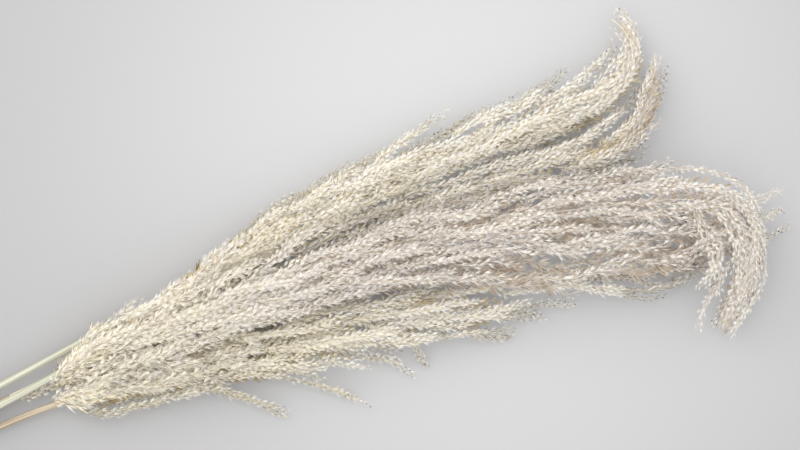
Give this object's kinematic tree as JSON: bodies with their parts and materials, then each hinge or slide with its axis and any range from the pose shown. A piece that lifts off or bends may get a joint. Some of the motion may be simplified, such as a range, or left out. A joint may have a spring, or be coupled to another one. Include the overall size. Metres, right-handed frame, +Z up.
{
  "type": "bundle of dried ravenna grass",
  "caption": "Dried ravenna grass lying flat: straight slender culms tied with natural twine near their cut ends, each ending in a long feathery cream plume.",
  "frame": {"origin": "centre of the bundle's footprint, on the surface it lies on", "axes": "+X along the bundle from the cut ends to the plume tips, +Z up"},
  "size_m": [1.0557, 0.2882, 0.0917],
  "materials": {
    "green_culm": "smooth dry stalk, pale green ivory, faintly glossy",
    "straw_culm": "smooth dry stalk, straw tan, faintly glossy",
    "cream_plume": "dry woolly hairs, matt",
    "pink_grey_plume": "dry silky hairs, matt with a faint sheen",
    "twine": "twisted natural fibre, matt"
  },
  "bodies": {
    "root": {"culm_1": "green_culm", "culm_2": "straw_culm", "culm_3": "straw_culm", "culm_4": "green_culm", "plume_1": "cream_plume", "plume_2": "cream_plume", "plume_3": "cream_plume", "plume_4": "pink_grey_plume", "tie": "twine"}
  },
  "joints": []
}
